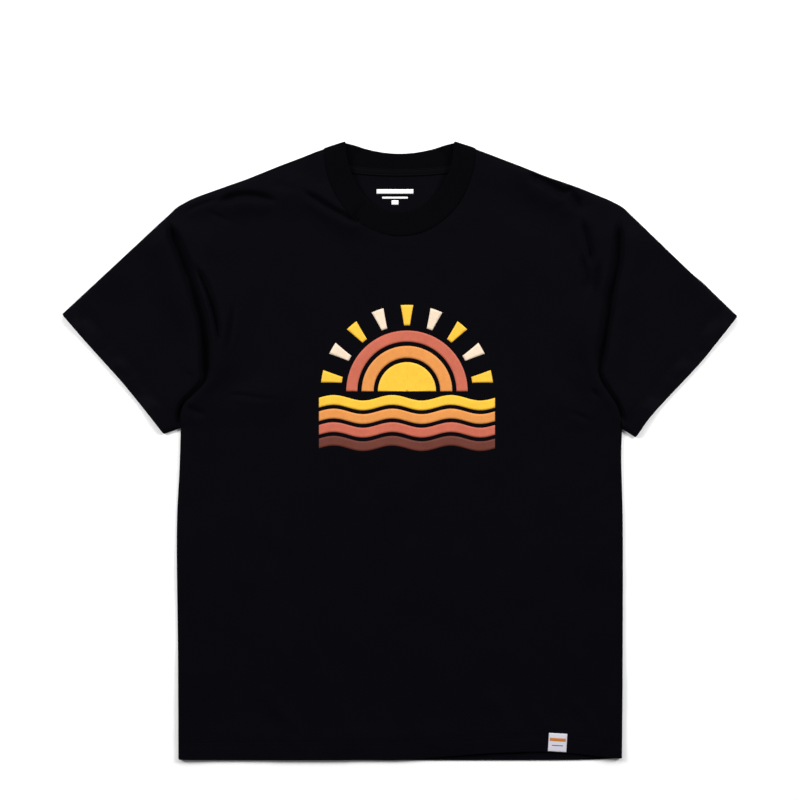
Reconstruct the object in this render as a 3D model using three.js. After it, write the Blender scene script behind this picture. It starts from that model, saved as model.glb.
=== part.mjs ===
// A short-sleeved crew-neck T-shirt that lies flat with its front up.
// Millimetres. +X points to the wearer's left, +Y to the collar and +Z up.
// The origin is under the middle of the shirt, on the surface that it lies on.

import * as THREE from "three";

// The whole shirt, lying flat
const bodyLength = 722; // neck points to the lowest point of the hem
const sleeveSpan = 787; // sleeve corner to sleeve corner
const bodyWidth = 520; // across the chest
const topY = bodyLength / 2;
const bottomY = -bodyLength / 2;

// Cloth
const jersey = 1.0; // one layer
const ribThickness = 2.2; // a band of rib folded double
const hemThickness = 2.0; // a hem turned in once
const tapeThickness = 0.8;
const layerGap = 0.4; // between layers that lie on each other, and along the seams
const foldInset = 1.3; // the inside of a folded edge lies this many thicknesses in from its outside
const frontUnderside = jersey + layerGap;
const frontTop = frontUnderside + jersey;

// Collar: half widths, and how far each edge dips below its ends
const neckFold = 2.4; // how far the turned-over band reaches past its own middle line
const neckHalfWidth = 63;
const neckY = topY - neckFold;
const ribSeamHalfWidth = 88.5;
const ribSeamY = neckY - 7.4;
const frontNeckDrop = 78.2;
const frontSeamDrop = 99;
const backNeckDrop = 10.6;
const backSeamDrop = 21.4;
const fullness = { backNeck: 1.05, backSeam: 0.32 }; // 0.5 is half an ellipse, less is flatter in the middle
const ribOverlap = 0.17; // share of the front band that lies over the back one, at each end
const ribCrown = [0.55, 1, 1, 1, 0.55]; // thickness across the band, from its free edge to its seam
const tapeWidth = 9;
const tapeCut = 0.09; // share of the back seam that the tape leaves bare at each end
const tapeSteps = 14;
const backCurveSteps = 28;

// Corners of the flat outline, +X for the wearer's left and -X for the wearer's right
const sleeveCornerX = sleeveSpan / 2;
const outlines = {
  left: {
    shoulderPoint: [269, 277.5], // where the armhole seam meets the top outline
    shoulder: [[261, 285], [252, 290], [238, 296.3], [200, 311.2], [140, 333.6]],
    sleeveCorner: [sleeveCornerX, 157.5],
    cuffCorner: [276, 17],
    cuffBulge: 0.2, // the sleeve hem bows outwards by this much
    hemCorner: [259.8, -358.5],
    sideBow: [[260.6, -260], [260.8, -90], [259, -10]],
    armhole: [[260, 27], [257, 47], [241, 70], [232, 97], [236, 116], [244, 153], [250, 193], [259, 246]],
  },
  right: {
    shoulderPoint: [-270, 276.5],
    shoulder: [[-261, 285], [-252, 290.5], [-238, 297.3], [-200, 311.4], [-140, 333.8]],
    sleeveCorner: [-sleeveCornerX, 161.5],
    cuffCorner: [-276, 21],
    cuffBulge: -1.6,
    hemCorner: [-258.6, -360],
    sideBow: [[-260.2, -260], [-260.8, -95], [-257.4, -20]],
    armhole: [[-256, 28], [-258, 50], [-238, 72], [-226, 96], [-227, 136], [-235, 176], [-253, 222]],
  },
};

// Hems
const hemDepth = 20;
const cuffDepth = 22;
const hemRise = { from: -20, to: 262, height: 10.5, skew: 1.35 }; // where the front hem rides up

// Folds of the upper layer: ends of each ridge, its height and the half width of its foot
const folds = [
  { from: [-262, 226], to: [-247, 108], height: 8.5, reach: 17 },
  { from: [-222, 222], to: [-203, 116], height: 8.5, reach: 22 },
  { from: [-232, 62], to: [-142, 72], height: 5, reach: 22 },
  { from: [-205, 300], to: [-142, 306], height: 5, reach: 18 },
  { from: [268, 214], to: [254, 112], height: 8.5, reach: 17 },
  { from: [228, 226], to: [210, 118], height: 8.5, reach: 22 },
  { from: [240, 52], to: [158, 88], height: 5, reach: 22 },
  { from: [148, 314], to: [206, 266], height: 5, reach: 18 },
  { from: [-190, -330], to: [-150, -262], height: 3, reach: 26 },
  { from: [60, -326], to: [94, -258], height: 3, reach: 28 },
  { from: [214, -296], to: [226, -236], height: 3, reach: 24 },
];
const edgeLoft = { height: 2.4, peak: 8, reach: 46 }; // the upper layer stands off near the body's edges

// Grid lines of the cloth pieces, as shares of their own edges
const armholeSteps = [0, 0.03, 0.1, 0.19, 0.28, 0.38, 0.49, 0.6, 0.72, 0.84, 0.96, 1];
const neckSteps = sharesOf(16);
const edgeColumns = [0, 0.012, 0.035]; // on the body, from its side edges
const frontCounts = { sideRows: 14, shoulderColumns: 6 };
const backCounts = { sideRows: 4, shoulderColumns: 2 };
const sleeveColumns = 8;
const hemLiftShares = [1, 1, 0.7, 0.35]; // how a sleeve's thick hem raises the rows next to it

// Hem label: a folded square of woven tape
const labelSide = 23.4;
const labelCentre = [184.6, -339.8];
const labelTurn = -3.5; // degrees
const labelThickness = 0.9;
const labelCorner = 1.2; // radius

// Chest print: a half sun with rays over waves
const printCentre = [8.5, 86];
const printWidth = 206;
const printHeight = 171;
const inkThickness = 0.4;
const sunRadii = { core: 34, rings: [[39, 53], [58, 71]], rays: [77, 101] };
const rayCount = 9;
const raySpread = 0.42; // share of the room between two rays that a ray fills
const rayTaper = 0.6; // a ray's angle at its foot, against its angle at its tip
const waveCount = 4;
const waveGap = 4.5;
const waveSwing = 3.2;
const wavesAcross = 3;
const waveSteps = 24;

// Colours: black jersey, and the inks of the print
const jerseyBlack = { color: 0x0d0d12, roughness: 0.95 };
const ribBlack = { color: 0x0b0b0f, roughness: 0.97 };
const tapeBlack = { color: 0x121217, roughness: 0.9 };
const labelWhite = { color: 0xd5d0dc, roughness: 0.8 };
const cream = { color: 0xfce9cf, roughness: 0.7 };
const yellow = { color: 0xffd03c, roughness: 0.7 };
const orange = { color: 0xfba855, roughness: 0.7 };
const salmon = { color: 0xd9735a, roughness: 0.7 };
const brown = { color: 0x7a3f30, roughness: 0.7 };

const shirt = new THREE.Group();

// Even shares from 0 to 1.
function sharesOf(count) {
  return Array.from({ length: count + 1 }, (_, step) => step / count);
}

function addPiece(name, geometry, look) {
  const material = new THREE.MeshStandardMaterial({ metalness: 0, ...look });
  const piece = new THREE.Mesh(geometry, material);
  piece.name = name;
  shirt.add(piece);
  return piece;
}

// Six times the volume inside a closed mesh, negative where its faces point in.
function signedVolume(points, triangles) {
  const corner = (index) => new THREE.Vector3(...points.slice(index * 3, index * 3 + 3));
  let total = 0;
  for (let start = 0; start < triangles.length; start += 3) {
    const [a, b, c] = triangles.slice(start, start + 3).map(corner);
    total += a.dot(b.cross(c));
  }
  return total;
}

// One closed solid from the two faces of a piece of cloth, each a grid of points.
// In a ring, such as a sleeve or the neckband, the last row joins the first.
function clothGeometry(outer, inner, ring) {
  const rows = outer.length;
  const lastColumn = outer[0].length - 1;
  const points = [outer, inner].flat(3);
  const triangles = [];
  const at = (face, row, column) => (face * rows + (row % rows)) * (lastColumn + 1) + column;
  const addQuad = (a, b, c, d) => triangles.push(a, b, c, a, c, d);
  for (let row = 0; row < (ring ? rows : rows - 1); row += 1) {
    const next = row + 1;
    for (let column = 0; column < lastColumn; column += 1) {
      addQuad(at(0, row, column), at(0, row, column + 1), at(0, next, column + 1), at(0, next, column));
      addQuad(at(1, row, column), at(1, next, column), at(1, next, column + 1), at(1, row, column + 1));
    }
    addQuad(at(0, row, 0), at(0, next, 0), at(1, next, 0), at(1, row, 0));
    addQuad(at(0, row, lastColumn), at(1, row, lastColumn), at(1, next, lastColumn), at(0, next, lastColumn));
  }
  for (let column = 0; column < lastColumn && !ring; column += 1) {
    const last = rows - 1;
    addQuad(at(0, 0, column), at(1, 0, column), at(1, 0, column + 1), at(0, 0, column + 1));
    addQuad(at(0, last, column), at(0, last, column + 1), at(1, last, column + 1), at(1, last, column));
  }
  if (signedVolume(points, triangles) < 0) triangles.reverse();
  const geometry = new THREE.BufferGeometry();
  geometry.setAttribute("position", new THREE.Float32BufferAttribute(points, 3));
  geometry.setIndex(triangles);
  geometry.computeVertexNormals();
  return geometry;
}

function vector([x, y]) {
  return new THREE.Vector2(x, y);
}

function splineThrough(points) {
  return new THREE.SplineCurve(points.map(vector));
}

function joined(...curves) {
  const path = new THREE.CurvePath();
  curves.forEach((curve) => path.add(curve));
  return path;
}

// Fills the space between four edges: u runs along the bottom and top edges, v along the left and right ones.
function patch(bottom, top, left, right) {
  const corners = [bottom(0), bottom(1), top(0), top(1)];
  return (u, v) => {
    const along = bottom(u).multiplyScalar(1 - v).addScaledVector(top(u), v);
    const across = left(v).multiplyScalar(1 - u).addScaledVector(right(v), u);
    return along.add(across)
      .addScaledVector(corners[0], -(1 - u) * (1 - v))
      .addScaledVector(corners[1], -u * (1 - v))
      .addScaledVector(corners[2], -(1 - u) * v)
      .addScaledVector(corners[3], -u * v);
  };
}

function clamp(value) {
  return Math.min(1, Math.max(0, value));
}

// A smooth hump, 1 in the middle and 0 from its foot on.
function hump(distance, reach) {
  return distance < reach ? Math.cos((Math.PI / 2) * (distance / reach)) ** 2 : 0;
}

// How far the folds lift the upper layer above where it would lie flat.
function foldLift(point) {
  let lift = 0;
  for (const fold of folds) {
    const [from, to] = [vector(fold.from), vector(fold.to)];
    const run = to.clone().sub(from);
    const share = clamp(point.clone().sub(from).dot(run) / run.lengthSq());
    const nearest = from.addScaledVector(run, share);
    lift += fold.height * hump(point.distanceTo(nearest), fold.reach);
  }
  return lift;
}

function edgeLift(distance) {
  const inside = clamp((edgeLoft.reach - distance) / (edgeLoft.reach - edgeLoft.peak));
  const outside = clamp(distance / edgeLoft.peak);
  return edgeLoft.height * Math.sin((Math.PI / 2) * Math.min(inside, outside));
}

function armholeCurve(side) {
  return splineThrough([...side.armhole, side.shoulderPoint]);
}

function sideCurve(side) {
  return splineThrough([side.hemCorner, ...side.sideBow, side.armhole[0]]);
}

// The outline from where the armhole meets it to the neckband's seam.
function shoulderCurve(side) {
  const seamCorner = [Math.sign(side.shoulderPoint[0]) * ribSeamHalfWidth, ribSeamY];
  return splineThrough([side.shoulderPoint, ...side.shoulder, seamCorner]);
}

// Half an ellipse that hangs from -X to +X, the lower edge of a neck opening.
function neckCurve(halfWidth, y, drop) {
  return new THREE.EllipseCurve(0, y, halfWidth, drop, Math.PI, 2 * Math.PI, false);
}

// The same at the back of the neck, where the curve isn't an ellipse.
function backCurve(halfWidth, y, drop, full) {
  return splineThrough(sharesOf(backCurveSteps).map((share) => {
    const across = -Math.cos(Math.PI * share);
    return [halfWidth * across, y - drop * Math.max(0, 1 - across ** 2) ** full];
  }));
}

const frontSeam = neckCurve(ribSeamHalfWidth, ribSeamY, frontSeamDrop);
const backSeam = backCurve(ribSeamHalfWidth, ribSeamY, backSeamDrop, fullness.backSeam);

function hemPoint(share, rises) {
  const x = THREE.MathUtils.lerp(outlines.right.hemCorner[0], outlines.left.hemCorner[0], share);
  const cornerY = THREE.MathUtils.lerp(outlines.right.hemCorner[1], outlines.left.hemCorner[1], share);
  const sag = (bottomY - cornerY) * (1 - (2 * share - 1) ** 8);
  const risen = clamp((x - hemRise.from) / (hemRise.to - hemRise.from));
  const rise = rises ? hemRise.height * Math.sin(Math.PI * risen ** hemRise.skew) : 0;
  return new THREE.Vector2(x, cornerY + sag + rise);
}

// A body panel's grid of plan points, with the distances that its heights depend on.
function bodyGrid(neckSeam, rises, counts) {
  const sideLength = sideCurve(outlines.right).getLength();
  const pit = sideLength / (sideLength + armholeCurve(outlines.right).getLength()); // the armpit's height share
  const edgeOf = (side) => {
    const [below, armhole] = [sideCurve(side), armholeCurve(side)];
    return (v) => (v < pit ? below.getPointAt(v / pit) : armhole.getPointAt((v - pit) / (1 - pit)));
  };
  const leftShoulderCurve = shoulderCurve(outlines.left);
  leftShoulderCurve.points.reverse();
  const topEdge = joined(shoulderCurve(outlines.right), neckSeam, leftShoulderCurve);
  const plan = patch(
    (u) => hemPoint(u, rises),
    (u) => topEdge.getPoint(u),
    edgeOf(outlines.right),
    edgeOf(outlines.left),
  );
  const hemRows = [0, hemDepth - 1, hemDepth + 3].map((distance) => (pit * distance) / sideLength);
  const sideSteps = sharesOf(counts.sideRows).slice(1);
  const plainRows = sideSteps.map((share) => THREE.MathUtils.lerp(hemRows[2], pit, share));
  const armholeRows = armholeSteps.slice(1).map((step) => pit + (1 - pit) * step);
  const rows = [...hemRows, ...plainRows, ...armholeRows];

  const [neckStart, neckEnd] = topEdge.getCurveLengths().map((length) => length / topEdge.getLength());
  const shoulderColumns = (last) => {
    const steps = sharesOf(counts.shoulderColumns).slice(1);
    return [...edgeColumns, ...steps.map((share) => THREE.MathUtils.lerp(edgeColumns.at(-1), last, share))];
  };
  const rightShoulder = shoulderColumns(neckStart);
  const leftShoulder = shoulderColumns(1 - neckEnd).map((u) => 1 - u).reverse();
  const neckColumns = neckSteps.slice(1, -1).map((step) => THREE.MathUtils.lerp(neckStart, neckEnd, step));
  const columns = [...rightShoulder, ...neckColumns, ...leftShoulder];

  return rows.map((v) => columns.map((u) => ({
    point: plan(u, v),
    fromHem: (v / pit) * sideLength,
    fromSide: Math.min(u, 1 - u) * bodyWidth,
    besideArmhole: v > pit,
    fromShoulder: u < neckStart || u > neckEnd ? (1 - v) * bodyLength : Infinity,
  })));
}

function hemShare(fromHem) {
  return clamp((hemDepth + 1 - fromHem) / 2);
}

function backPanel() {
  const grid = bodyGrid(backSeam, false, backCounts);
  const inside = ({ point, fromHem }) => {
    return [point.x, point.y, THREE.MathUtils.lerp(jersey, hemThickness, hemShare(fromHem))];
  };
  const outside = ({ point }) => [point.x, point.y, 0];
  addPiece("back_panel", clothGeometry(map2(grid, inside), map2(grid, outside)), jerseyBlack);
}

function frontPanel() {
  const grid = bodyGrid(frontSeam, true, frontCounts);
  const topAt = ({ point, fromHem, fromSide, besideArmhole, fromShoulder }) => {
    const hemLift = 2 * (hemThickness - jersey) * clamp((3 * hemDepth - fromHem) / hemDepth);
    const sideLift = besideArmhole ? 0 : edgeLift(fromSide);
    return frontTop + hemLift + Math.max(foldLift(point), sideLift, edgeLift(fromShoulder));
  };
  const outside = (spot) => [spot.point.x, spot.point.y, topAt(spot)];
  const inside = (spot) => {
    const thickness = THREE.MathUtils.lerp(jersey, hemThickness, hemShare(spot.fromHem));
    return [spot.point.x, spot.point.y, topAt(spot) - thickness];
  };
  addPiece("front_panel", clothGeometry(map2(grid, outside), map2(grid, inside)), jerseyBlack);
}

function map2(grid, change) {
  return grid.map((row) => row.map(change));
}

// A sleeve is a flattened tube, folded along its top edge and seamed under the arm.
function sleeve(name, side) {
  const outward = Math.sign(side.shoulderPoint[0]);
  const armhole = armholeCurve(side);
  const seamEdge = (share) => {
    const tangent = armhole.getTangentAt(share);
    const away = new THREE.Vector2(tangent.y, -tangent.x).multiplyScalar(outward * layerGap);
    return armhole.getPointAt(share).add(away);
  };
  const hemEdge = (share) => {
    const [low, high] = [vector(side.cuffCorner), vector(side.sleeveCorner)];
    const across = high.clone().sub(low).normalize();
    const bulge = new THREE.Vector2(outward * across.y, -outward * across.x);
    return low.lerp(high, share).addScaledVector(bulge, side.cuffBulge * Math.sin(Math.PI * share));
  };
  const straight = (from, to) => (share) => from.clone().lerp(to, share);
  const underarm = straight(seamEdge(0), hemEdge(0));
  const topFold = straight(seamEdge(1), hemEdge(1));
  const plan = patch(underarm, topFold, seamEdge, hemEdge);

  const spotAt = (share, column) => {
    const length = seamEdge(share).distanceTo(hemEdge(share));
    const hemStops = [0, Math.min(cuffDepth - 1, 0.5 * length), Math.min(cuffDepth + 3, 0.65 * length)];
    const plainShare = (column - 2) / sleeveColumns;
    const fromHem = column < 3 ? hemStops[column] : THREE.MathUtils.lerp(hemStops[2], length, plainShare);
    return {
      point: plan(1 - fromHem / length, share),
      thickness: column < 2 ? hemThickness : jersey,
      hemLift: 2 * (hemThickness - jersey) * (hemLiftShares[column] ?? 0),
      width: seamEdge(0).distanceTo(seamEdge(1)),
    };
  };

  const outer = [];
  const inner = [];
  const addRow = (share, place) => {
    const outerRow = [];
    const innerRow = [];
    for (let column = sleeveColumns + 2; column >= 0; column -= 1) {
      const spot = spotAt(share, column);
      const top = frontTop + spot.hemLift + (place === "upper" ? foldLift(spot.point) : 0);
      const heights = {
        upper: [top, top - spot.thickness],
        edge: [top / 2, top / 2],
        lower: [0, spot.thickness],
      }[place];
      const inset = (foldInset * jersey) / spot.width;
      const innerPoint = place === "edge" ? spotAt(share > 0.5 ? 1 - inset : inset, column).point : spot.point;
      outerRow.push([spot.point.x, spot.point.y, heights[0]]);
      innerRow.push([innerPoint.x, innerPoint.y, heights[1]]);
    }
    outer.push(outerRow);
    inner.push(innerRow);
  };
  const between = armholeSteps.slice(1, -1);
  addRow(0, "edge");
  between.forEach((share) => addRow(share, "upper"));
  addRow(1, "edge");
  [...between].reverse().forEach((share) => addRow(share, "lower"));
  addPiece(name, clothGeometry(outer, inner, true), jerseyBlack);
}

// The neckband: a ring of double rib that lies over the back at the front and turns over at the neck points.
function neckRib() {
  const lowered = ribThickness / 2;
  const raised = ribThickness + 1.25 * layerGap + ribThickness / 2;
  const resting = frontUnderside + ribThickness / 2;
  const frontHeight = (share) => {
    const fromPoint = 0.5 - Math.abs(share - 0.5);
    return THREE.MathUtils.lerp(raised, resting, clamp((fromPoint - ribOverlap) / ribOverlap));
  };
  const edges = {
    front: [neckCurve(neckHalfWidth, neckY, frontNeckDrop), frontSeam],
    back: [backCurve(neckHalfWidth, neckY, backNeckDrop, fullness.backNeck), backSeam],
  };
  const stations = [];
  const addStation = (half, share, height, up, past = 0) => {
    const [free, seam] = edges[half].map((curve) => curve.getPointAt(share));
    seam.addScaledVector(free.clone().sub(seam).normalize(), layerGap);
    const ends = [free, seam].map((end) => end.setY(end.y + past));
    stations.push({ ends, height, up });
  };
  neckSteps.forEach((share) => addStation("front", share, frontHeight(share), new THREE.Vector3(0, 0, 1)));
  const turn = new THREE.Vector3(0, 1, 0);
  addStation("front", 1, (raised + lowered) / 2, turn, neckFold - ribThickness / 2);
  [...neckSteps].reverse().forEach((share) => addStation("back", share, lowered, new THREE.Vector3(0, 0, -1)));
  addStation("front", 0, (raised + lowered) / 2, turn, neckFold - ribThickness / 2);

  const face = (side) => stations.map(({ ends, height, up }) => ribCrown.map((crown, step) => {
    const point = ends[0].clone().lerp(ends[1], step / (ribCrown.length - 1));
    const middle = new THREE.Vector3(point.x, point.y, height);
    return middle.addScaledVector(up, (side * crown * ribThickness) / 2).toArray();
  }));
  addPiece("neck_rib", clothGeometry(face(1), face(-1), true), ribBlack);
}

// The tape covers the back neck seam on the inside.
function neckTape() {
  const face = (height) => sharesOf(tapeSteps).map((step) => {
    const share = THREE.MathUtils.lerp(tapeCut, 1 - tapeCut, step);
    const tangent = backSeam.getTangentAt(share);
    const down = new THREE.Vector2(tangent.y, -tangent.x);
    return [layerGap, tapeWidth / 2, tapeWidth].map((distance) => {
      const point = backSeam.getPointAt(share).addScaledVector(down, distance);
      return [point.x, point.y, height];
    });
  });
  const under = jersey + layerGap;
  addPiece("neck_tape", clothGeometry(face(under + tapeThickness), face(under)), tapeBlack);
}

function hemLabel() {
  const half = labelSide / 2;
  const outline = new THREE.Shape();
  outline.moveTo(-half + labelCorner, -half);
  outline.lineTo(half - labelCorner, -half).quadraticCurveTo(half, -half, half, -half + labelCorner);
  outline.lineTo(half, half - labelCorner).quadraticCurveTo(half, half, half - labelCorner, half);
  outline.lineTo(-half + labelCorner, half).quadraticCurveTo(-half, half, -half, half - labelCorner);
  outline.lineTo(-half, -half + labelCorner).quadraticCurveTo(-half, -half, -half + labelCorner, -half);
  const geometry = new THREE.ExtrudeGeometry(outline, {
    depth: labelThickness,
    bevelEnabled: false,
    curveSegments: 3,
  });
  const label = addPiece("hem_label", geometry, labelWhite);
  label.position.set(...labelCentre, frontTop + 2 * (hemThickness - jersey) + layerGap);
  label.rotation.z = THREE.MathUtils.degToRad(labelTurn);
}

// A flat field of ink on the chest, drawn round the middle of the print.
function addInk(name, outline, ink, steps) {
  const geometry = new THREE.ExtrudeGeometry(outline, {
    depth: inkThickness,
    bevelEnabled: false,
    curveSegments: steps,
  });
  addPiece(name, geometry, ink).position.set(...printCentre, frontTop + layerGap);
}

const horizonY = printHeight / 2 - sunRadii.rays[1];

function halfRing(inner, outer) {
  const outline = new THREE.Shape();
  outline.absarc(0, horizonY, outer, 0, Math.PI, false);
  if (inner > 0) outline.absarc(0, horizonY, inner, Math.PI, 0, true);
  return outline;
}

function ray(angle) {
  const half = ((Math.PI / rayCount) * raySpread) / 2;
  const [near, far] = sunRadii.rays;
  const corners = [[near, -rayTaper * half], [far, -half], [far, half], [near, rayTaper * half]];
  const points = corners.map(([radius, turn]) => new THREE.Vector2(
    radius * Math.cos(angle + turn),
    horizonY + radius * Math.sin(angle + turn),
  ));
  return new THREE.Shape(points);
}

function wave(top, height) {
  const edge = (y) => sharesOf(waveSteps).map((share) => new THREE.Vector2(
    printWidth * (share - 0.5),
    y + waveSwing * Math.sin(2 * Math.PI * wavesAcross * share),
  ));
  return new THREE.Shape([...edge(top - height), ...edge(top).reverse()]);
}

function chestPrint() {
  addInk("print_sun_core", halfRing(0, sunRadii.core), yellow, 20);
  [orange, salmon].forEach((ink, index) => {
    addInk(`print_sun_ring_${index + 1}`, halfRing(...sunRadii.rings[index]), ink, 24);
  });
  for (let index = 0; index < rayCount; index += 1) {
    const angle = (Math.PI * (index + 0.5)) / rayCount;
    addInk(`print_ray_${index + 1}`, ray(angle), index % 2 ? cream : yellow, 1);
  }
  const seaTop = horizonY - waveGap - waveSwing;
  const seaHeight = seaTop + printHeight / 2 - waveSwing;
  const waveHeight = (seaHeight - waveGap * (waveCount - 1)) / waveCount;
  [yellow, orange, salmon, brown].forEach((ink, index) => {
    addInk(`print_wave_${index + 1}`, wave(seaTop - index * (waveHeight + waveGap), waveHeight), ink, 1);
  });
}

backPanel();
frontPanel();
sleeve("left_sleeve", outlines.left);
sleeve("right_sleeve", outlines.right);
neckRib();
neckTape();
hemLabel();
chestPrint();

export default shirt;
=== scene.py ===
import math
import bpy
import bmesh
import numpy as np
from mathutils import Matrix, Vector
from mathutils.bvhtree import BVHTree


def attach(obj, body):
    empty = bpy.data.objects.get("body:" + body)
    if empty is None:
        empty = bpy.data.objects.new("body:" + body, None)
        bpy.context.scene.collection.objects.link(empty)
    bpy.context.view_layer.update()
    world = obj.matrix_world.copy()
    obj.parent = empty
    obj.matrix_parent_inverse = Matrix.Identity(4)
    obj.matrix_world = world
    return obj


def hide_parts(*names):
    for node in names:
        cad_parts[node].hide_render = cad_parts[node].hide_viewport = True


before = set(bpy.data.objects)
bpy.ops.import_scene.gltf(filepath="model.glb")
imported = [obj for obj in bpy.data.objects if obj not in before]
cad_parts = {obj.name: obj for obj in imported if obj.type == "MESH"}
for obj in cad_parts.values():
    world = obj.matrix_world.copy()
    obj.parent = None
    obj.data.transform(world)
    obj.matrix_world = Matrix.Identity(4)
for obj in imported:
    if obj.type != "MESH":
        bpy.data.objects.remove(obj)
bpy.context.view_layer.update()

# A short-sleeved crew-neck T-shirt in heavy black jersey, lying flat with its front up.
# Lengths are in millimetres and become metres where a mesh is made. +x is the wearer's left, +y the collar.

mm = 0.001


def trackThrough(points, steps=24):
    # a smooth track through given points, as a dense polyline
    p = np.array(points, float)
    p = np.vstack([2 * p[0] - p[1], p, 2 * p[-1] - p[-2]])
    t = np.linspace(0, 1, steps, endpoint=False)[:, None]
    parts = []
    for a, b, c, d in zip(p, p[1:], p[2:], p[3:]):
        parts.append(0.5 * (2 * b + (c - a) * t + (2 * a - 5 * b + 4 * c - d) * t ** 2
                            + (3 * b - a - 3 * c + d) * t ** 3))
    return np.vstack(parts + [p[-2:-1]])


def trackLength(track):
    return float(np.hypot(*np.diff(track, axis=0).T).sum())


def walk(track, share):
    # points at these shares of a track's length
    along = np.concatenate([[0], np.cumsum(np.hypot(*np.diff(track, axis=0).T))])
    at = np.asarray(share, float) * along[-1]
    return np.stack([np.interp(at, along, track[:, k]) for k in (0, 1)], axis=-1)


def nearest(track, spots):
    # each spot's distance to a track, and how far along the track that is, from 0 to 1
    starts, runs = track[:-1], np.diff(track, axis=0)
    lengths = np.hypot(*runs.T)
    along = np.concatenate([[0], np.cumsum(lengths)])
    best = np.full(len(spots), np.inf)
    share = np.zeros(len(spots))
    for start, run, length, before in zip(starts, runs, lengths, along):
        if length < 1e-9:
            continue
        t = np.clip(((spots - start) @ run) / length ** 2, 0, 1)
        away = np.hypot(*(spots - start - t[:, None] * run).T)
        closer = away < best
        best[closer] = away[closer]
        share[closer] = (before + t[closer] * length) / along[-1]
    return best, share


def smooth(t):
    t = np.clip(t, 0, 1)
    return t * t * (3 - 2 * t)


def mix(a, b, t):
    return a + (b - a) * t


# How the shirt lies
shirt = {
    "bottomY": -361,
    "neckY": 359.2,             # where the front half of the band turns over at the neck points
    "backNeckY": 361.0,         # and its back half
    "neckHalfWidth": 63,        # free edge of the band
    "frontNeckDrop": 78.7,
    "backNeckDrop": 12.2,
    "backNeckFullness": 1.18,
    "seamY": 353.7,             # where the band's seam meets the shoulders
    "seamHalfWidth": 88.5,
    "frontSeamDrop": 101.5,
    "backSeamDrop": 23.9,
    "backSeamFullness": 0.32,
    "hemSquareness": 8,         # how close to its corners the hem stays straight
    "hemRise": 10.5,            # the front hem rides up over the back one on the wearer's left
    "hemRiseFrom": -20,
    "hemRiseTo": 262,
    "hemRiseSkew": 1.35,
    "hemRaise": 1.5,            # and lies this much higher on the wearer's right
    "hemRaiseFrom": 20,
    "hemRaiseReach": 60,
}
# cuffBow: shares along the cuff from the underarm, and how far it bows out there
sides = {
    "left": {
        "shoulderPoint": (269, 277.9),
        "shoulder": [(261, 285.3), (252, 290.5), (241, 295.7), (227, 301.2), (213, 307), (199, 312),
                     (171, 321.7), (143, 332.9), (115, 343.7), (101, 349.1)],
        "topFold": [(298, 250), (340, 209.6), (354, 197.8), (368, 184)],
        "sleeveCorner": (394.6, 158.4), "cuffCorner": (276, 17),
        "cuffBow": [(0.14, -2.2), (0.31, -1.2), (0.475, 0.6), (0.64, 2.0), (0.81, 1.2)],
        "hemCorner": (259.8, -358.5), "sideBow": [(260.6, -260), (260.8, -90), (259.0, -10)],
        "armhole": [(260, 27), (257, 47), (241, 70), (232, 97), (236, 116), (244, 153), (250, 193),
                    (259, 246)],
    },
    "right": {
        "shoulderPoint": (-270, 276.5),
        "shoulder": [(-261, 285), (-252, 290.5), (-238, 297.3), (-200, 311), (-180, 318.1),
                     (-160, 326.1), (-140, 334.2), (-124, 340.2), (-110, 345.6), (-97, 350.8)],
        "topFold": [(-330, 220.9)],
        "sleeveCorner": (-394.4, 160.8), "cuffCorner": (-276, 21),
        "cuffBow": [(0.113, -0.75), (0.28, -1.5), (0.446, -1.9), (0.61, -0.9), (0.78, 0.0)],
        "hemCorner": (-258.6, -360), "sideBow": [(-259.2, -240), (-260.6, -95), (-257.4, -20)],
        "armhole": [(-256, 28), (-258, 50), (-238, 72), (-226, 96), (-227, 136), (-235, 176), (-253, 222)],
    },
}
cloth = {
    "thickness": 0.8,           # heavy cotton jersey
    "bodyWidth": 518.0,         # of a panel, measured along the cloth
    "lowerMiddle": 0.5,         # height of the lower layer's middle
    "upperMiddle": 1.75,        # and of the upper layer's, where it lies flat
    "loft": 0.5,                # how far the calm upper layer stands off its flat lie
    "seamHeight": 1.6,          # where the two meet at a fold or a seam
    "edgeRoll": 5.0,            # radius in plan of the rounded side edges
    "lowerRoll": 0.6,           # the same for the lower layer, as a share of that
    "edgeLoft": 2.6,            # how far the upper layer stands off beside them
    "edgeLoftReach": 48,
    "hemDepth": 20,
    "hemEase": 26,              # how far above the hem the cloth has settled again
    "hemEdges": (2.25, 1.15),   # height of the front's and the back's side edges at the hem
    "hemTuck": 2.6,             # how far in the hem's turned layer ends at each side
    "cuffDepth": 22,
    "cuffEase": 24,
    "cuffTuck": 1.5,            # for each millimetre that the turned layer lies inside the outer one
    "turnGap": 0.95,            # between a hem's two layers, middle to middle
    "turnLift": 1.75,           # how much the turned layers lift the outer one
    "turnRoll": 2.0,
    "coarseCell": 5.0,          # grid spacing of the panels where the cloth is calm
    "fineCell": 2.3,            # and where it is creased
    "creasedFrom": 365,         # millimetres above the hem
    "creasedRight": 215,        # in from the wearer's right side
    "creasedLeft": 130,         # and from the left one
}

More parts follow.
